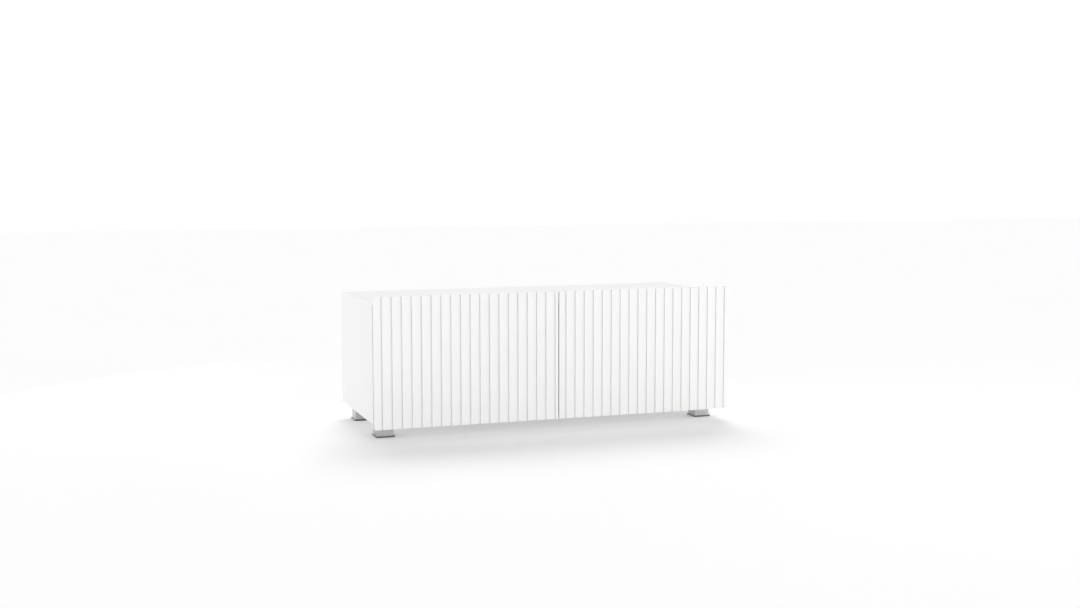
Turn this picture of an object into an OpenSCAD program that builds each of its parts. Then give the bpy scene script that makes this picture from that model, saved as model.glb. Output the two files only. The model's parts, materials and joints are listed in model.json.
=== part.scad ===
// Low television stand: a laminated-board cabinet on four metal feet, with two grooved overlay doors.
// Origin: centre of the footprint on the floor. The doors face -Y, the top faces +Z.

/* [Cabinet] */
// Overall width
width = 1000; // [800:10:1200]
// Overall depth, from the doors' front face to the rear of the back panel
depth = 418; // [340:2:480]
// Height of the cabinet box, without feet
box_h = 312; // [300:2:400]
// Thickness of the laminated board
board_t = 18; // [16:1:22]
// Thickness of the nailed-on back panel
back_t = 3; // [3:0.5:6]

/* [Doors] */
// Gap between the door's back and the cabinet's front edges
door_gap = 5; // [3:0.5:6]
// Height by which the doors stand above the top panel, as a finger grip
door_rise = 19; // [10:1:30]
// Height by which the doors hang below the bottom panel
door_drop = 11; // [0:1:20]
// Gap between the two doors
centre_gap = 3; // [2:0.5:4]
// Number of upright grooves in one door
groove_count = 19; // [1:1:19]
// Distance between two grooves
groove_pitch = 26.15; // [20:0.05:26.15]
// Distance from the door's left edge to its first groove
groove_first = 18; // [10:1:18]
// Width of a groove
groove_w = 4; // [2:0.25:5]
// Depth of a groove
groove_d = 4.5; // [1:0.25:5]

/* [Feet] */
// Height of the feet
foot_h = 44; // [40:1:80]
// Width of a foot's upright square tube
foot_w = 44; // [36:1:50]
// Width of the flange on a foot's base
flange_w = 51; // [50:1:60]
// Distance from the cabinet's side to the foot's flange
foot_inset = 16; // [14:1:60]
// Distance from the doors' front face to the front feet's flanges
front_foot_set = 64; // [40:1:100]
// Distance from the cabinet's rear to the rear feet's flanges
rear_foot_set = 36; // [30:1:100]

/* [Interior] */
// Thickness of the adjustable shelves
shelf_t = 16; // [16:1:18]
// Distance from the cabinet's front edges to the shelves
shelf_set = 20; // [10:1:60]
// Cable gap behind the shelves
cable_gap = 30; // [20:1:60]
// Width of a cable cut-out in the back panel
outlet_w = 90; // [60:5:160]
// Height of a cable cut-out in the back panel
outlet_h = 40; // [30:2:60]

/* [Hidden] */
$fn = 48;
eps = 1; // overshoot of a cutting tool beyond the face that it cuts

// Faces of the cabinet
half_w = width / 2;
front_y = -depth / 2;
rear_y = depth / 2;
door_back_y = front_y + board_t;
case_front = door_back_y + door_gap;
case_rear = rear_y - back_t;
case_d = case_rear - case_front;
bottom_z = foot_h;
top_z = bottom_z + box_h;
inner_x = half_w - board_t;
bay_bottom = bottom_z + board_t;
bay_top = top_z - board_t;
half_mid = board_t / 2;

// Doors
door_w = (width - centre_gap) / 2;
door_bottom_z = bottom_z - door_drop;
door_h = box_h + door_rise + door_drop;
left_door_x = -half_w;
right_door_x = centre_gap / 2;

// Knock-down fittings: a bolt in the face of one board is drawn into the edge of another by a cam
fitting_inset = 28;
dowel_step = 64;
cam_r = 7.5;
cam_depth = 12.5;
cam_reach = 34;
bolt_hole_r = 3.6;
bolt_grip = 11;
dowel_r = 4;
dowel_l = 30;
dowel_grip = 10;
fit_gap = 0.05; // play on the radius of a peg in its hole
cam_bolt_r = 1.8;
cam_bolt_head_r = 3;
cam_bolt_head_h = 4;
cam_bolt_collar = 0.4;
cam_bore_r = 5;
cam_face_t = 3.5;
cam_mouth_r = 3.8;
cam_seat = 0.2;
cam_cross_depth = 1.7;
cam_cross_l = 7;
cam_cross_w = 1.2;
cam_ys = [case_front + fitting_inset, case_rear - fitting_inset];
dowel_ys = [case_front + fitting_inset + dowel_step, case_rear - fitting_inset - dowel_step];

// Shelves and their pins, on a 32 mm row of holes
row_step = 32;
pin_z = 188;
pin_r = 2.5;
pin_hole_depth = 8;
pin_out = 9;
pin_collar_r = 4.2;
pin_collar_t = 0.9;
pin_front_set = 37;
pin_rear_set = 59;
pin_ys = [case_front + pin_front_set, case_rear - pin_rear_set];
shelf_z = pin_z + pin_r - fit_gap;
shelf_play = 1;

// Back panel
panel_inset = 1;
nail_r = 0.7;
nail_l = 16;
nail_head_r = 1.6;
nail_head_t = 0.8;
nail_count = 7;
nail_shift = 12; // moves the rows of nails clear of the boards' fittings
nail_point_gap = 0.5;
outlet_z = 112;

// Feet
pad_t = 1.2;
pad_inset = 2;
flange_t = 3;
plug_h = 8;
foot_wall = 2;
foot_top_t = 3;
foot_corner = 2;
flange_corner = 3;
foot_bolt_play = 0.2;
plug_play = 0.1;
plug_wall = 2.5;
bolt_r = 4;
bolt_l = 16;
bolt_head_r = 6.5;
bolt_head_h = 8;
bolt_tip_gap = 1;
hex_r = 3.5;
hex_depth = 5;
insert_r = 5.5;
insert_l = 13;
insert_seat = 0.1;

// Door bumpers
bumper_r = 4;
bumper_t = door_gap - 0.3;
bumper_x = 30;

// Concealed cup hinges, two to a door. Their plan is drawn in u, v: u runs inwards from the
// cabinet's outer side and v runs back from the cabinet's front edges.
hinge_zs = [108, 300];
cup_u = 22.5;
cup_hole_r = 17.5;
cup_r = 17.4;
cup_wall = 0.8;
cup_depth = 12.5;
wing_u = 28;
wing_z = 24;
wing_half = 30;
wing_w = 15;
wing_t = 1;
cup_seat = 0.2;
screw_play = 0.3;
screw_point_gap = 0.5;
cup_screw_r = 1.7;
cup_screw_l = 11;
cup_head_r = 3.4;
cup_head_t = 1.8;
arm_pin = [37, 12];
link_bend_1 = [37, -9.5 - door_gap];
link_bend_2 = [18, -9.7 - door_gap];
cup_pin = [10.5, -8 - door_gap];
link_pin_r = 1.2;
link_play = 0.06;
pin_fit = 0.02;
link_half_t = 1.1;
link_half_h = 4;
eye_r = 2.4;
cup_pin_half = 11.3;
boss_gap = 0.5;
arm_half_h = 6;
arm_t = 1.4;
arm_web_u = 40;
arm_front_v = 8;
arm_web_v = 16;
arm_pin_proud = 0.3;
arm_rear_v = 68;
arm_foot_u = 27;
plate_v = 37;
plate_w = 20;
plate_half_h = 24;
plate_t = 2;
spine_v = [44, 64];
plate_screw_z = 16;
plate_screw_r = 2.5;
plate_screw_l = 13;
plate_head_r = 4.5;
plate_head_t = 2.4;
arm_screw_v = 54;
arm_screw_r = 2;
arm_screw_l = 13;
arm_head_r = 3.6;
arm_head_t = 2;
cross_w = 0.7;

// A fitting's frame: its origin is where the board's edge meets the other board's face, +Z points
// into that face and +X points to the side that the cam is drilled from.
function side_top(s, y) = [[s * (half_w - board_t / 2), y, bay_top], [0, 0, s > 0 ? 180 : 0]];
function mid_top(y) = [[0, y, bay_top], [0, 0, 0]];
function mid_bottom(y) = [[0, y, bay_bottom], [180, 0, 0]];
function bottom_end(s, y) = [[s * inner_x, y, bottom_z + board_t / 2], [s > 0 ? 0 : 180, 90, 0]];
function side_frames(s, ys) = [for (y = ys) each [side_top(s, y), bottom_end(s, y)]];
function mid_frames(ys) = [for (y = ys) each [mid_top(y), mid_bottom(y)]];
function all_frames(ys) = concat(side_frames(-1, ys), side_frames(1, ys), mid_frames(ys));
function top_frames(ys) = [for (y = ys) each [side_top(-1, y), side_top(1, y), mid_top(y)]];
function bottom_frames(ys) = [for (y = ys) each [bottom_end(-1, y), bottom_end(1, y), mid_bottom(y)]];

// Nail places [x, z] along the back panel's top or bottom edge, and up an upright board
nail_step = (width - 2 * board_t) / nail_count;
nail_xs = [for (i = [0 : nail_count - 1]) (i - (nail_count - 1) / 2) * nail_step + nail_shift];
nail_zs = [for (i = [1 : 3]) bottom_z + box_h * i / 4];
function row_nails(z) = [for (x = nail_xs) [x, z]];
function post_nails(x) = [for (z = nail_zs) [x, z]];
top_nails = row_nails(top_z - board_t / 2);
bottom_nails = row_nails(bottom_z + board_t / 2);
all_nails = concat(top_nails, bottom_nails, post_nails(-half_w + board_t / 2),
                   post_nails(half_w - board_t / 2), post_nails(0));

module place(frames) {
    for (f = frames) translate(f[0]) rotate(f[1]) children();
}

module fitting_drilling(cam_frames, dowel_frames) {
    place(cam_frames) {
        translate([board_t / 2 - cam_depth, 0, -cam_reach])
            rotate([0, 90, 0]) cylinder(r = cam_r, h = cam_depth + eps);
        translate([0, 0, -cam_reach]) cylinder(r = bolt_hole_r, h = cam_reach + bolt_grip);
    }
    place(dowel_frames)
        translate([0, 0, dowel_grip - dowel_l]) cylinder(r = dowel_r, h = dowel_l);
}

module nail_drilling(nails) {
    for (n = nails) translate([n[0], rear_y - nail_l, n[1]])
        rotate([-90, 0, 0]) cylinder(r = nail_r + fit_gap, h = nail_l, $fn = 24);
}

module shelf_pin_drilling(x, s) {
    for (y = pin_ys, k = [-1 : 1]) translate([x, y, pin_z + k * row_step])
        rotate([0, s * 90, 0]) translate([0, 0, -eps]) cylinder(r = pin_r, h = pin_hole_depth + eps);
}

module rounded_square(size, r) {
    square([size, size - 2 * r], center = true);
    square([size - 2 * r, size], center = true);
    for (x = [-1, 1], y = [-1, 1]) translate([x, y] * (size / 2 - r)) circle(r = r);
}

// Cabinet box
module top_panel() {
    color("white") difference() {
        translate([-half_w, case_front, bay_top]) cube([width, case_d, board_t]);
        fitting_drilling(top_frames(cam_ys), top_frames(dowel_ys));
        nail_drilling(top_nails);
    }
}

module bottom_panel() {
    color("white") difference() {
        translate([-inner_x, case_front, bottom_z]) cube([2 * inner_x, case_d, board_t]);
        fitting_drilling(bottom_frames(cam_ys), bottom_frames(dowel_ys));
        nail_drilling(bottom_nails);
        at_feet() translate([0, 0, foot_h - eps]) cylinder(r = insert_r + fit_gap, h = insert_l + eps);
        at_feet() translate([0, 0, foot_h]) cylinder(r = bolt_r, h = bolt_l);
    }
}

module side_panel(s) {
    x = s < 0 ? -half_w : inner_x;
    color("white") difference() {
        translate([x, case_front, bottom_z]) cube([board_t, case_d, box_h - board_t]);
        fitting_drilling(side_frames(s, cam_ys), side_frames(s, dowel_ys));
        nail_drilling(post_nails(s * (half_w - board_t / 2)));
        shelf_pin_drilling(s * inner_x, s);
        at_hinges(s) at_plate_screws() cylinder(r = plate_screw_r + fit_gap, h = plate_screw_l);
    }
}

module left_side_panel() { side_panel(-1); }

module right_side_panel() { side_panel(1); }

module centre_partition() {
    color("white") difference() {
        translate([-half_mid, case_front, bay_bottom]) cube([board_t, case_d, bay_top - bay_bottom]);
        fitting_drilling(mid_frames(cam_ys), mid_frames(dowel_ys));
        nail_drilling(post_nails(0));
        shelf_pin_drilling(-half_mid, 1);
        shelf_pin_drilling(half_mid, -1);
    }
}

module outlet(s) {
    run = (outlet_w - outlet_h) / 2;
    translate([s * (inner_x + half_mid) / 2, rear_y + eps, outlet_z]) rotate([90, 0, 0])
        linear_extrude(back_t + 2 * eps) {
            square([2 * run, outlet_h], center = true);
            for (x = [-run, run]) translate([x, 0]) circle(d = outlet_h);
        }
}

module back_panel() {
    color("white") difference() {
        translate([-half_w + panel_inset, case_rear, bottom_z + panel_inset])
            cube([width - 2 * panel_inset, back_t, box_h - 2 * panel_inset]);
        nail_drilling(all_nails);
        for (n = all_nails) translate([n[0], rear_y - nail_head_t, n[1]])
            rotate([-90, 0, 0]) cylinder(r = nail_head_r + fit_gap, h = nail_head_t + eps, $fn = 24);
        for (s = [-1, 1]) outlet(s);
    }
}

module shelf(s) {
    w = inner_x - half_mid - 2 * shelf_play;
    x = s < 0 ? -inner_x + shelf_play : half_mid + shelf_play;
    color("white") translate([x, case_front + shelf_set, shelf_z])
        cube([w, case_d - shelf_set - cable_gap, shelf_t]);
}

module left_shelf() { shelf(-1); }

module right_shelf() { shelf(1); }

// A pin is a plain peg with a collar that seats on the board
module shelf_pin() {
    peg_r = pin_r - fit_gap;
    translate([0, 0, -pin_hole_depth + fit_gap]) cylinder(r = peg_r, h = pin_hole_depth + pin_out);
    difference() {
        cylinder(r = pin_collar_r, h = pin_collar_t);
        translate([peg_r, -pin_collar_r, -eps])
            cube([pin_collar_r, 2 * pin_collar_r, pin_collar_t + 2 * eps]);
    }
}

// Each pin's collar is cut flat on top, so that the shelf rests on the peg
module shelf_pins(s) {
    color("silver") for (y = pin_ys) {
        translate([s * inner_x, y, pin_z]) rotate([0, -s * 90, 0]) turned(s) shelf_pin();
        translate([s * half_mid, y, pin_z]) rotate([0, s * 90, 0]) turned(-s) shelf_pin();
    }
}

module turned(s) {
    rotate([0, 0, s < 0 ? 180 : 0]) children();
}

module left_shelf_pins() { shelf_pins(-1); }

module right_shelf_pins() { shelf_pins(1); }

module dowels() {
    color("burlywood") place(all_frames(dowel_ys)) translate([0, 0, dowel_grip - dowel_l + fit_gap])
        cylinder(r = dowel_r - fit_gap, h = dowel_l - fit_gap);
}

module cam_bolts() {
    color("silver") place(all_frames(cam_ys)) {
        translate([0, 0, -cam_bolt_collar])
            cylinder(r = bolt_hole_r - fit_gap, h = bolt_grip + cam_bolt_collar);
        translate([0, 0, -cam_reach]) cylinder(r = cam_bolt_r, h = cam_reach);
        translate([0, 0, -cam_reach]) cylinder(r = cam_bolt_head_r, h = cam_bolt_head_h);
    }
}

// A cam housing has a driver cross on its face and a mouth that swallows the bolt's head
module cam_housing() {
    difference() {
        rotate([0, 90, 0]) cylinder(r = cam_r - fit_gap, h = cam_depth - cam_seat);
        translate([-eps, 0, 0]) rotate([0, 90, 0])
            cylinder(r = cam_bore_r, h = cam_depth - cam_face_t + eps);
        translate([cam_depth - board_t / 2, 0, 0]) cylinder(r = cam_mouth_r, h = cam_r + eps);
        for (a = [0, 90]) rotate([a, 0, 0])
            translate([cam_depth - cam_cross_depth, -cam_cross_l / 2, -cam_cross_w / 2])
                cube([cam_cross_depth + eps, cam_cross_l, cam_cross_w]);
    }
}

module cam_housings() {
    color("silver") place(all_frames(cam_ys))
        translate([board_t / 2 - cam_depth, 0, -cam_reach]) cam_housing();
}

module back_panel_nails() {
    color("silver") for (n = all_nails) translate([n[0], rear_y, n[1]]) rotate([90, 0, 0]) {
        cylinder(r = nail_head_r, h = nail_head_t, $fn = 24);
        cylinder(r = nail_r, h = nail_l - nail_point_gap, $fn = 24);
    }
}

// Feet
module at_foot(s, t) {
    x = s * (half_w - foot_inset - flange_w / 2);
    y = t < 0 ? front_y + front_foot_set + flange_w / 2 : rear_y - rear_foot_set - flange_w / 2;
    translate([x, y, 0]) children();
}

module at_feet() {
    for (s = [-1, 1], t = [-1, 1]) at_foot(s, t) children();
}

module foot(s, t) {
    base = pad_t + flange_t;
    color("silver") at_foot(s, t) difference() {
        translate([0, 0, base]) linear_extrude(foot_h - base) rounded_square(foot_w, foot_corner);
        translate([0, 0, base - eps]) linear_extrude(foot_h - foot_top_t - base + eps)
            square(foot_w - 2 * foot_wall, center = true);
        cylinder(r = bolt_r + foot_bolt_play, h = foot_h + eps);
    }
}

module foot_base(s, t) {
    plug_w = foot_w - 2 * foot_wall - 2 * plug_play;
    color("dimgray") at_foot(s, t) translate([0, 0, pad_t]) {
        linear_extrude(flange_t) rounded_square(flange_w, flange_corner);
        difference() {
            linear_extrude(flange_t + plug_h) square(plug_w, center = true);
            translate([0, 0, flange_t]) linear_extrude(plug_h + eps)
                square(plug_w - 2 * plug_wall, center = true);
        }
    }
}

module front_left_foot() { foot(-1, -1); }

module front_right_foot() { foot(1, -1); }

module rear_left_foot() { foot(-1, 1); }

module rear_right_foot() { foot(1, 1); }

module front_left_foot_base() { foot_base(-1, -1); }

module front_right_foot_base() { foot_base(1, -1); }

module rear_left_foot_base() { foot_base(-1, 1); }

module rear_right_foot_base() { foot_base(1, 1); }

module foot_pads() {
    color("dimgray") at_feet() linear_extrude(pad_t)
        rounded_square(flange_w - 2 * pad_inset, flange_corner);
}

module foot_bolts() {
    color("gray") at_feet() translate([0, 0, foot_h - foot_top_t]) {
        difference() {
            translate([0, 0, -bolt_head_h]) cylinder(r = bolt_head_r, h = bolt_head_h);
            translate([0, 0, -bolt_head_h - eps]) cylinder(r = hex_r, h = hex_depth + eps, $fn = 6);
        }
        cylinder(r = bolt_r - fit_gap, h = foot_top_t + bolt_l - bolt_tip_gap);
    }
}

module foot_inserts() {
    color("gray") at_feet() translate([0, 0, foot_h + insert_seat]) difference() {
        cylinder(r = insert_r, h = insert_l - 2 * insert_seat);
        translate([0, 0, -eps]) cylinder(r = bolt_r, h = insert_l + 2 * eps);
    }
}

// Doors
module door_panel(s) {
    x = s < 0 ? left_door_x : right_door_x;
    color("white") difference() {
        translate([x, front_y, door_bottom_z]) cube([door_w, board_t, door_h]);
        for (i = [0 : groove_count - 1]) door_groove(x + groove_first + i * groove_pitch);
        at_hinges(s) {
            at_cup() translate([0, 0, -eps]) cylinder(r = cup_hole_r, h = cup_depth + eps);
            at_cup_screws() translate([0, 0, -eps])
                cylinder(r = cup_screw_r + fit_gap, h = cup_screw_l + eps);
        }
    }
}

// An upright groove that runs out at both ends of the door
module door_groove(x) {
    translate([x - groove_w / 2, front_y - eps, door_bottom_z - eps])
        cube([groove_w, groove_d + eps, door_h + 2 * eps]);
}

module left_door_panel() { door_panel(-1); }

module right_door_panel() { door_panel(1); }

// Soft pads that land on the front edges of the top and bottom panels
module door_bumpers(s) {
    color("gainsboro") for (z = [bottom_z + board_t / 2, top_z - board_t / 2])
        translate([s * bumper_x, door_back_y, z]) rotate([-90, 0, 0]) cylinder(r = bumper_r, h = bumper_t);
}

module left_door_bumpers() { door_bumpers(-1); }

module right_door_bumpers() { door_bumpers(1); }

// Hinges
module at_hinge(s, i) {
    translate([s * half_w, case_front, hinge_zs[i]]) mirror([s > 0 ? 1 : 0, 0, 0]) children();
}

module at_hinges(s) {
    for (i = [0, 1]) at_hinge(s, i) children();
}

// From a cup's middle on the door's back face, with +Z going into the door
module at_cup() {
    translate([cup_u, -door_gap, 0]) rotate([90, 0, 0]) children();
}

module at_cup_screws() {
    for (t = [-1, 1]) translate([wing_u, -door_gap, t * wing_z]) rotate([90, 0, 0]) children();
}

// From a side panel's inner face, with +Z going into the panel
module at_plate_screws() {
    for (t = [-1, 1]) translate([board_t, plate_v, t * plate_screw_z]) rotate([0, -90, 0]) children();
}

module at_arm_screw() {
    translate([arm_web_u + arm_t, arm_screw_v, 0]) rotate([0, -90, 0]) children();
}

module upright(p, r, half_h) {
    translate([p[0], p[1], -half_h]) cylinder(r = r, h = 2 * half_h);
}

function unit(v) = v / norm(v);
function left_normal(a, b) = let (d = unit(b - a)) [-d[1], d[0]];
function mitre(a, b, c, r) =
    let (n = left_normal(a, b), m = unit(n + left_normal(b, c))) b + m * r / (m * n);

// One side of a strap that runs through the points p, at the distance r from its middle line
function strap_side(p, r) = [
    p[0] + r * left_normal(p[0], p[1]),
    mitre(p[0], p[1], p[2], r),
    mitre(p[1], p[2], p[3], r),
    p[3] + r * left_normal(p[2], p[3])
];

function reversed(list) = [for (i = [len(list) - 1 : -1 : 0]) list[i]];

// A goose-neck strap that reaches round the cup's rim, with an eye for a pin at each end
module hinge_links(s) {
    path = [arm_pin, link_bend_1, link_bend_2, cup_pin];
    color("silver") at_hinges(s) difference() {
        union() {
            translate([0, 0, -link_half_h]) linear_extrude(2 * link_half_h)
                polygon(concat(strap_side(path, link_half_t), reversed(strap_side(path, -link_half_t))));
            for (p = [arm_pin, cup_pin]) upright(p, eye_r, link_half_h);
        }
        for (p = [arm_pin, cup_pin]) upright(p, link_pin_r + link_play, link_half_h + eps);
    }
}

module left_hinge_links() { hinge_links(-1); }

module right_hinge_links() { hinge_links(1); }

// A pressed cup with a screw wing above and below it and two bosses that carry the pin
module hinge_cup(s, i) {
    body_h = cup_depth - cup_seat;
    color("silver") at_hinge(s, i) difference() {
        union() {
            difference() {
                union() {
                    at_cup() cylinder(r = cup_r, h = body_h);
                    translate([wing_u - wing_w / 2, -door_gap, -wing_half])
                        cube([wing_w, wing_t, 2 * wing_half]);
                }
                at_cup() translate([0, 0, -wing_t - eps])
                    cylinder(r = cup_r - cup_wall, h = body_h - cup_wall + wing_t + eps);
            }
            intersection() {
                pin_bosses();
                at_cup() cylinder(r = cup_r - cup_wall / 2, h = body_h);
            }
        }
        at_cup_screws() cylinder(r = cup_screw_r + screw_play, h = 2 * (wing_t + eps), center = true);
        upright(cup_pin, link_pin_r, cup_pin_half);
    }
}

module pin_bosses() {
    for (z = [-cup_r, link_half_h + boss_gap]) translate([cup_pin[0], cup_pin[1], z])
        cylinder(r = eye_r, h = cup_r - link_half_h - boss_gap);
}

module left_lower_hinge_cup() { hinge_cup(-1, 0); }

module left_upper_hinge_cup() { hinge_cup(-1, 1); }

module right_lower_hinge_cup() { hinge_cup(1, 0); }

module right_upper_hinge_cup() { hinge_cup(1, 1); }

module cup_pins(s) {
    color("gray") at_hinges(s) upright(cup_pin, link_pin_r - pin_fit, cup_pin_half - pin_fit);
}

module left_cup_pins() { cup_pins(-1); }

module right_cup_pins() { cup_pins(1); }

module cup_screws(s) {
    color("gray") at_hinges(s) at_cup_screws() {
        translate([0, 0, -wing_t]) cylinder(r = cup_screw_r, h = wing_t + cup_screw_l - screw_point_gap);
        translate([0, 0, -wing_t - cup_head_t]) screw_head(cup_head_r, cup_head_t);
    }
}

// A round head with a driver cross, its face at z = 0
module screw_head(r, t) {
    difference() {
        cylinder(r = r, h = t);
        for (a = [0, 90]) rotate(a) translate([-r / 2, -cross_w / 2, -eps]) cube([r, cross_w, t / 2 + eps]);
    }
}

module left_cup_screws() { cup_screws(-1); }

module right_cup_screws() { cup_screws(1); }

// A hinge arm is a channel that opens towards the side panel
module hinge_arm(s, i) {
    color("silver") at_hinge(s, i) difference() {
        union() {
            for (z = [-arm_half_h - arm_t, arm_half_h]) translate([arm_foot_u, arm_front_v, z])
                cube([arm_web_u + arm_t - arm_foot_u, arm_rear_v - arm_front_v, arm_t]);
            translate([arm_web_u, arm_web_v, -arm_half_h - arm_t])
                cube([arm_t, arm_rear_v - arm_web_v, 2 * (arm_half_h + arm_t)]);
        }
        upright(arm_pin, link_pin_r, arm_half_h + arm_t + eps);
        at_arm_screw() translate([0, 0, -eps]) cylinder(r = arm_screw_r + screw_play, h = arm_t + 2 * eps);
    }
}

module left_lower_hinge_arm() { hinge_arm(-1, 0); }

module left_upper_hinge_arm() { hinge_arm(-1, 1); }

module right_lower_hinge_arm() { hinge_arm(1, 0); }

module right_upper_hinge_arm() { hinge_arm(1, 1); }

// A hinge plate is a winged base that is screwed to the side panel, with a spine inside the arm
module hinge_plate(s, i) {
    spine_half_h = arm_half_h - 2 * fit_gap;
    color("silver") at_hinge(s, i) difference() {
        union() {
            translate([board_t, plate_v - plate_w / 2, -plate_half_h])
                cube([plate_t, plate_w, 2 * plate_half_h]);
            translate([board_t, plate_v - plate_w / 2, -spine_half_h])
                cube([plate_t, spine_v[1] - plate_v + plate_w / 2, 2 * spine_half_h]);
            translate([board_t, spine_v[0], -spine_half_h])
                cube([arm_web_u - board_t, spine_v[1] - spine_v[0], 2 * spine_half_h]);
        }
        at_plate_screws() translate([0, 0, -plate_t - eps])
            cylinder(r = plate_screw_r + screw_play, h = plate_t + 2 * eps);
        at_arm_screw() cylinder(r = arm_screw_r, h = arm_screw_l + eps);
    }
}

module left_lower_hinge_plate() { hinge_plate(-1, 0); }

module left_upper_hinge_plate() { hinge_plate(-1, 1); }

module right_lower_hinge_plate() { hinge_plate(1, 0); }

module right_upper_hinge_plate() { hinge_plate(1, 1); }

module hinge_arm_pins() {
    color("gray") for (s = [-1, 1]) at_hinges(s)
        upright(arm_pin, link_pin_r - pin_fit, arm_half_h + arm_t + arm_pin_proud);
}

module hinge_arm_screws() {
    color("gray") for (s = [-1, 1]) at_hinges(s) at_arm_screw() {
        cylinder(r = arm_screw_r - fit_gap, h = arm_screw_l);
        translate([0, 0, -arm_head_t]) screw_head(arm_head_r, arm_head_t);
    }
}

module hinge_plate_screws() {
    color("gray") for (s = [-1, 1]) at_hinges(s) at_plate_screws() {
        translate([0, 0, -plate_t])
            cylinder(r = plate_screw_r, h = plate_t + plate_screw_l - screw_point_gap);
        translate([0, 0, -plate_t - plate_head_t]) screw_head(plate_head_r, plate_head_t);
    }
}

top_panel();
bottom_panel();
left_side_panel();
right_side_panel();
centre_partition();
back_panel();
left_shelf();
right_shelf();
left_shelf_pins();
right_shelf_pins();
dowels();
cam_bolts();
cam_housings();
back_panel_nails();
front_left_foot();
front_right_foot();
rear_left_foot();
rear_right_foot();
front_left_foot_base();
front_right_foot_base();
rear_left_foot_base();
rear_right_foot_base();
foot_pads();
foot_bolts();
foot_inserts();
left_door_panel();
right_door_panel();
left_door_bumpers();
right_door_bumpers();
left_lower_hinge_cup();
left_upper_hinge_cup();
right_lower_hinge_cup();
right_upper_hinge_cup();
left_cup_pins();
right_cup_pins();
left_cup_screws();
right_cup_screws();
left_hinge_links();
right_hinge_links();
left_lower_hinge_arm();
left_upper_hinge_arm();
right_lower_hinge_arm();
right_upper_hinge_arm();
left_lower_hinge_plate();
left_upper_hinge_plate();
right_lower_hinge_plate();
right_upper_hinge_plate();
hinge_arm_pins();
hinge_arm_screws();
hinge_plate_screws();
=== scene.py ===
"""Looks for the low television stand: materials, rounded edges, studio and camera."""
import json
import math

import bpy
from mathutils import Euler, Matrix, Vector

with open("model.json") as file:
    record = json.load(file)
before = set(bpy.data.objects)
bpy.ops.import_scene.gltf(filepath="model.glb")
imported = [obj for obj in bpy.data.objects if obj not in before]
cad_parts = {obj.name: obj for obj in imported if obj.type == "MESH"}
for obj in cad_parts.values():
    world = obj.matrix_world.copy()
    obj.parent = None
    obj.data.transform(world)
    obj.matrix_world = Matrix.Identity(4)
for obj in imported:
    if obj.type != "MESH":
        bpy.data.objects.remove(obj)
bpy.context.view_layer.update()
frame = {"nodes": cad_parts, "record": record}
nodes = frame["nodes"]
MM = 0.001


# ---------------------------------------------------------------- shader helpers

class Shader:
    """A material with a Principled shader and short ways to add nodes to it."""

    def __init__(self, name, roughness, metallic=0.0, specular=0.5, coat=0.0, anisotropic=0.0):
        self.material = bpy.data.materials.new(name)
        self.material.use_nodes = True
        self.tree = self.material.node_tree
        self.surface = self.tree.nodes["Principled BSDF"]
        self.set("Roughness", roughness)
        self.set("Metallic", metallic)
        self.set("Specular IOR Level", specular)
        self.set("Coat Weight", coat)
        self.set("Anisotropic", anisotropic)
        self.place = self.node("ShaderNodeTexCoord").outputs["Object"]

    def node(self, kind, **values):
        made = self.tree.nodes.new(kind)
        for key, value in values.items():
            setattr(made, key, value)
        return made

    def link(self, source, target):
        self.tree.links.new(source, target)

    def set(self, socket, value):
        self.surface.inputs[socket].default_value = value

    def stretched(self, scale):
        """Object coordinates multiplied by a scale for each axis."""
        mapping = self.node("ShaderNodeMapping")
        mapping.inputs["Scale"].default_value = scale
        self.link(self.place, mapping.inputs["Vector"])
        return mapping.outputs["Vector"]

    def noise(self, scale, detail=3.0, rough=0.5, stretch=(1, 1, 1)):
        made = self.node("ShaderNodeTexNoise")
        made.inputs["Scale"].default_value = scale
        made.inputs["Detail"].default_value = detail
        made.inputs["Roughness"].default_value = rough
        self.link(self.stretched(stretch), made.inputs["Vector"])
        return made.outputs["Fac"]

    def remap(self, value, low=0.0, high=1.0, start=0.3, end=0.7):
        """The value's run from start to end, carried over to low to high."""
        made = self.node("ShaderNodeMapRange")
        made.inputs["From Min"].default_value = start
        made.inputs["From Max"].default_value = end
        made.inputs["To Min"].default_value = low
        made.inputs["To Max"].default_value = high
        self.link(value, made.inputs["Value"])
        return made.outputs["Result"]

    def colours(self, factor, first, second):
        made = self.node("ShaderNodeMix", data_type="RGBA")
        self.link(factor, made.inputs["Factor"])
        for socket, value in ((made.inputs["A"], first), (made.inputs["B"], second)):
            if isinstance(value, tuple):
                socket.default_value = (*value, 1.0)
            else:
                self.link(value, socket)
        return made.outputs["Result"]

    def crevice(self, reach, samples=6):
        """0 deep in a gap or groove of this reach, and 1 on an open face."""
        made = self.node("ShaderNodeAmbientOcclusion", samples=samples)
        made.inputs["Distance"].default_value = reach
        return made.outputs["AO"]

    def bump(self, height, depth, strength=1.0):
        made = self.node("ShaderNodeBump")
        made.inputs["Distance"].default_value = depth
        made.inputs["Strength"].default_value = strength
        self.link(height, made.inputs["Height"])
        self.link(made.outputs["Normal"], self.surface.inputs["Normal"])

    def paint(self, socket, value):
        self.link(value, self.surface.inputs[socket])

    def tint(self, value, first, second):
        """Runs the surface's colour from the first to the second as the value rises."""
        self.paint("Base Color", self.colours(self.remap(value), first, second))


# ---------------------------------------------------------------- materials

# The two shades that the white boards' mottling runs between
WHITE_DARK = (0.905, 0.905, 0.902)
WHITE_LIGHT = (0.925, 0.925, 0.922)
# A laminate face gets painted shade, a darker colour, where another board is within this reach
GAP_REACH = 14 * MM
# The colour of the painted shade in gaps and grooves between boards
PAINTED_GAP_SHADE = (0.22, 0.22, 0.215)


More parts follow.
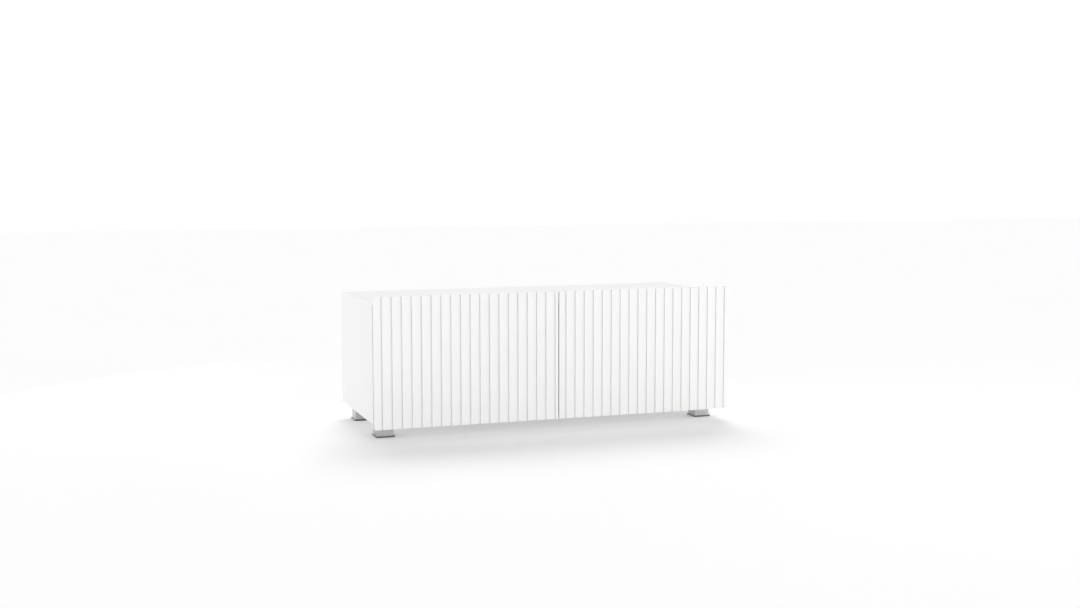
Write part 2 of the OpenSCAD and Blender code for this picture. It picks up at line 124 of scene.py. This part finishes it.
def white_lacquer():
    """Sprayed satin lacquer: faint mottling, orange peel and uneven gloss."""
    made = Shader("white_lacquer", roughness=0.4, specular=0.45)
    mottle = made.noise(scale=3.0, detail=4.0)
    made.tint(mottle, WHITE_DARK, WHITE_LIGHT)
    made.paint("Roughness", made.remap(made.noise(scale=60.0, detail=4.0), low=0.36, high=0.46))
    made.bump(made.noise(scale=900.0, detail=2.0), depth=0.02 * MM, strength=0.6)
    return made.material


def white_laminate():
    """Melamine-faced board: pearled surface with a slight wipe direction, and painted shade in
    gaps and grooves.
    """
    made = Shader("white_laminate", roughness=0.5, specular=0.4)
    mottle = made.noise(scale=5.0, detail=5.0)
    face = made.colours(made.remap(mottle), WHITE_DARK, WHITE_LIGHT)
    # Painted shade: the face colour is darkened where the occlusion mask finds another board
    # nearby
    open_face = made.remap(made.crevice(GAP_REACH), start=0.3, end=0.8)
    made.paint("Base Color", made.colours(open_face, PAINTED_GAP_SHADE, face))
    streak = made.noise(scale=40.0, detail=4.0, stretch=(0.2, 1, 1))
    made.paint("Roughness", made.remap(streak, low=0.44, high=0.56))
    pearl = made.noise(scale=1600.0, detail=3.0, rough=0.6)
    made.bump(pearl, depth=0.03 * MM, strength=0.7)
    return made.material


def white_hardboard():
    """Thin painted hardboard: pressed fibres show through a matt film."""
    made = Shader("white_hardboard", roughness=0.65, specular=0.3)
    fibre = made.noise(scale=260.0, detail=6.0, rough=0.7)
    made.tint(fibre, (0.640, 0.637, 0.628), (0.700, 0.698, 0.690))
    made.paint("Roughness", made.remap(fibre, low=0.58, high=0.72))
    made.bump(fibre, depth=0.08 * MM, strength=0.8)
    return made.material


def brushed_aluminium():
    """Satin anodised aluminium with upright brush marks."""
    made = Shader("brushed_aluminium", roughness=0.3, metallic=1.0, anisotropic=0.5)
    brush = made.noise(scale=2200.0, detail=3.0, rough=0.6, stretch=(1, 1, 0.02))
    cloud = made.noise(scale=30.0, detail=3.0)
    made.tint(cloud, (0.49, 0.49, 0.495), (0.55, 0.55, 0.555))
    made.paint("Roughness", made.remap(brush, low=0.24, high=0.38))
    made.bump(brush, depth=0.012 * MM, strength=0.8)
    return made.material


def black_plastic():
    """Moulded black plastic: fine spark-eroded grain, slightly scuffed."""
    made = Shader("black_plastic", roughness=0.3, specular=0.7, coat=0.5)
    scuff = made.noise(scale=120.0, detail=5.0, rough=0.65)
    made.tint(scuff, (0.085, 0.085, 0.087), (0.115, 0.115, 0.117))
    made.paint("Roughness", made.remap(scuff, low=0.22, high=0.38))
    made.bump(made.noise(scale=2500.0, detail=2.0), depth=0.03 * MM, strength=0.8)
    return made.material


def plated_steel(name, light, dark, low, high, grain):
    """Plated pressed or turned steel: cloudy plating over fine tool marks."""
    made = Shader(name, roughness=low, metallic=1.0)
    cloud = made.noise(scale=90.0, detail=4.0)
    made.tint(cloud, dark, light)
    made.paint("Roughness", made.remap(made.noise(scale=400.0, detail=4.0), low=low, high=high))
    made.bump(made.noise(scale=grain, detail=3.0), depth=0.02 * MM, strength=0.5)
    return made.material


def beech():
    """Beech dowel: long pores along the rod."""
    made = Shader("beech", roughness=0.6, specular=0.3)
    grain = made.noise(scale=420.0, detail=6.0, rough=0.65, stretch=(0.15, 1, 0.15))
    made.tint(grain, (0.62, 0.42, 0.24), (0.74, 0.55, 0.36))
    made.paint("Roughness", made.remap(grain, low=0.5, high=0.7))
    made.bump(grain, depth=0.1 * MM)
    return made.material


def pad_rubber():
    """Dark anti-slip foam rubber."""
    made = Shader("pad_rubber", roughness=0.85, specular=0.2)
    cells = made.noise(scale=1500.0, detail=4.0, rough=0.7)
    made.tint(cells, (0.02, 0.02, 0.02), (0.05, 0.05, 0.05))
    made.paint("Roughness", made.remap(cells, low=0.75, high=0.95))
    made.bump(cells, depth=0.15 * MM)
    return made.material


def clear_pad():
    """Soft milky polyurethane bumper."""
    made = Shader("clear_pad", roughness=0.3, specular=0.5)
    haze = made.noise(scale=500.0, detail=3.0)
    made.tint(haze, (0.70, 0.72, 0.72), (0.80, 0.82, 0.82))
    made.paint("Roughness", made.remap(haze, low=0.22, high=0.36))
    made.bump(haze, depth=0.03 * MM)
    return made.material


MATERIALS = {
    "white_lacquer": white_lacquer(),
    "white_laminate": white_laminate(),
    "white_hardboard": white_hardboard(),
    "brushed_aluminium": brushed_aluminium(),
    "black_plastic": black_plastic(),
    "nickel_steel": plated_steel("nickel_steel", light=(0.72, 0.71, 0.69), dark=(0.64, 0.63, 0.61),
                                 low=0.18, high=0.32, grain=900.0),
    "zinc_steel": plated_steel("zinc_steel", light=(0.60, 0.62, 0.65), dark=(0.50, 0.52, 0.55),
                               low=0.28, high=0.45, grain=1200.0),
    "zinc_casting": plated_steel("zinc_casting", light=(0.52, 0.52, 0.53), dark=(0.43, 0.43, 0.44),
                                 low=0.4, high=0.6, grain=700.0),
    "beech": beech(),
    "pad_rubber": pad_rubber(),
    "clear_pad": clear_pad(),
}


# ---------------------------------------------------------------- edges

# How far each kind of piece is rounded along its sharp edges, and in how many steps.
# The sawn hardboard back isn't here: its edges stay crisp.
EDGES = {
    "white_lacquer": (0.7 * MM, 3),
    "white_laminate": (0.5 * MM, 2),
    "brushed_aluminium": (0.6 * MM, 3),
    "black_plastic": (0.5 * MM, 3),
    "nickel_steel": (0.25 * MM, 2),
    "zinc_steel": (0.12 * MM, 2),
    "zinc_casting": (0.2 * MM, 2),
    "beech": (0.4 * MM, 2),
    "pad_rubber": (0.3 * MM, 2),
    "clear_pad": (0.5 * MM, 3),
}
# Corners closer than this are joined, since each CAD face has its own
WELD_GAP = 0.005 * MM
# Edges that turn by more than this are rounded
SHARP = math.radians(40)


def smooth_shading():
    """The node group of a modifier that shades neighbouring faces as one surface."""
    group = bpy.data.node_groups.new("smooth", "GeometryNodeTree")
    for direction in ("INPUT", "OUTPUT"):
        group.interface.new_socket("Geometry", in_out=direction, socket_type="NodeSocketGeometry")
    start = group.nodes.new("NodeGroupInput")
    shade = group.nodes.new("GeometryNodeSetShadeSmooth")
    end = group.nodes.new("NodeGroupOutput")
    group.links.new(start.outputs["Geometry"], shade.inputs["Geometry"])
    group.links.new(shade.outputs["Geometry"], end.inputs["Geometry"])
    return group


SMOOTH = smooth_shading()


def round_edges(node, width, steps):
    """Adds modifiers that weld the node's faces together and round its sharp edges."""
    weld = node.modifiers.new("weld", "WELD")
    weld.merge_threshold = WELD_GAP
    smooth = node.modifiers.new("smooth", "NODES")
    smooth.node_group = SMOOTH
    bevel = node.modifiers.new("edges", "BEVEL")
    bevel.width = width
    bevel.segments = steps
    bevel.limit_method = "ANGLE"
    bevel.angle_limit = SHARP
    bevel.use_clamp_overlap = True
    bevel.miter_outer = "MITER_ARC"
    normals = node.modifiers.new("normals", "WEIGHTED_NORMAL")
    normals.keep_sharp = True


for row in frame["record"]["subparts"]:
    part = nodes[row["node"]]
    slot = row["material_slot"]
    part.data.materials.clear()
    part.data.materials.append(MATERIALS[slot])
    if slot in EDGES:
        round_edges(part, *EDGES[slot])


# ---------------------------------------------------------------- studio

FLOOR_SIZE = 30.0
# The floor shines a little, to keep the cabinet's shadow light
FLOOR_GLOW = 0.17
# The sine of the elevation where the walls' light starts to fall, and where it ends
WALL_RISE = 0.15
CEILING_RISE = 0.5
WALL_LIGHT = 1.38
CEILING_LIGHT = 0.20


def floor():
    """A pale studio floor that the object stands on."""
    mesh = bpy.data.meshes.new("floor")
    half = FLOOR_SIZE / 2
    corners = [(-half, -half, 0), (half, -half, 0), (half, half, 0), (-half, half, 0)]
    mesh.from_pydata(corners, [], [(0, 1, 2, 3)])
    plane = bpy.data.objects.new("floor", mesh)
    bpy.context.scene.collection.objects.link(plane)
    made = Shader("floor", roughness=0.9, specular=0.0)
    haze = made.noise(scale=1.5, detail=2.0)
    made.tint(haze, (0.935, 0.935, 0.935), (0.945, 0.945, 0.945))
    made.set("Emission Color", (1.0, 1.0, 1.0, 1.0))
    made.set("Emission Strength", FLOOR_GLOW)
    plane.data.materials.append(made.material)


def surround():
    """White studio walls that are bright at the horizon and dim overhead."""
    world = bpy.data.worlds.new("studio")
    bpy.context.scene.world = world
    world.use_nodes = True
    tree = world.node_tree
    background = tree.nodes["Background"]
    background.inputs["Color"].default_value = (1, 1, 1, 1)
    direction = tree.nodes.new("ShaderNodeTexCoord")
    parts = tree.nodes.new("ShaderNodeSeparateXYZ")
    fall = tree.nodes.new("ShaderNodeMapRange")
    fall.interpolation_type = "SMOOTHSTEP"
    fall.inputs["From Min"].default_value = WALL_RISE
    fall.inputs["From Max"].default_value = CEILING_RISE
    fall.inputs["To Min"].default_value = WALL_LIGHT
    fall.inputs["To Max"].default_value = CEILING_LIGHT
    tree.links.new(direction.outputs["Generated"], parts.inputs["Vector"])
    tree.links.new(parts.outputs["Z"], fall.inputs["Value"])
    tree.links.new(fall.outputs["Result"], background.inputs["Strength"])


def wide_light(name, azimuth, elevation, spread, strength):
    """A broad, far softbox. Azimuth 0 is behind the cabinet and 90 is on its right side."""
    data = bpy.data.lights.new(name, "SUN")
    data.angle = math.radians(spread)
    data.energy = strength
    lamp = bpy.data.objects.new(name, data)
    turn, rise = math.radians(azimuth), math.radians(elevation)
    level = math.cos(rise)
    toward = Vector((math.sin(turn) * level, math.cos(turn) * level, math.sin(rise)))
    lamp.rotation_euler = toward.to_track_quat("Z", "Y").to_euler()
    bpy.context.scene.collection.objects.link(lamp)


def near_softbox(name, place, target, size, watts):
    """A square softbox close to the cabinet, so that its light falls off along the cabinet."""
    data = bpy.data.lights.new(name, "AREA")
    data.shape = "SQUARE"
    data.size = size
    data.energy = watts
    lamp = bpy.data.objects.new(name, data)
    lamp.location = place
    lamp.rotation_euler = (Vector(target) - Vector(place)).to_track_quat("-Z", "Y").to_euler()
    bpy.context.scene.collection.objects.link(lamp)


# The photograph's view: place in metres, angles in degrees, lens and sensor in millimetres
CAMERA_PLACE = (-1.265, -3.583, 0.677)
CAMERA_DOWN = 5.32
CAMERA_ROLL = 0.055
CAMERA_TURN = -19.76
CAMERA_LENS = 45.41
CAMERA_SENSOR = 36.0


def camera():
    """Looks from the front left, from a little above the cabinet."""
    data = bpy.data.cameras.new("camera")
    data.lens = CAMERA_LENS
    data.sensor_width = CAMERA_SENSOR
    data.sensor_fit = "HORIZONTAL"
    data.clip_start = 0.05
    data.clip_end = 100.0
    view = bpy.data.objects.new("camera", data)
    view.location = CAMERA_PLACE
    angles = (90 - CAMERA_DOWN, CAMERA_ROLL, CAMERA_TURN)
    view.rotation_euler = Euler([math.radians(angle) for angle in angles], "XYZ")
    bpy.context.scene.collection.objects.link(view)
    bpy.context.scene.camera = view


floor()
surround()
wide_light("key", azimuth=20, elevation=50, spread=35, strength=1.42)
wide_light("rim", azimuth=-25, elevation=40, spread=35, strength=0.34)
wide_light("front_right", azimuth=152, elevation=30, spread=50, strength=0.32)
wide_light("front_left", azimuth=210, elevation=26, spread=50, strength=0.43)
near_softbox("left_rear", place=(-1.25, 0.95, 0.5), target=(-0.5, 0.15, 0.2), size=0.7, watts=0.8)
near_softbox("right_front", place=(1.5, -1.3, 0.9), target=(0.5, -0.2, 0.3), size=0.8, watts=1.6)
camera()
bpy.context.scene.view_settings.view_transform = "Standard"
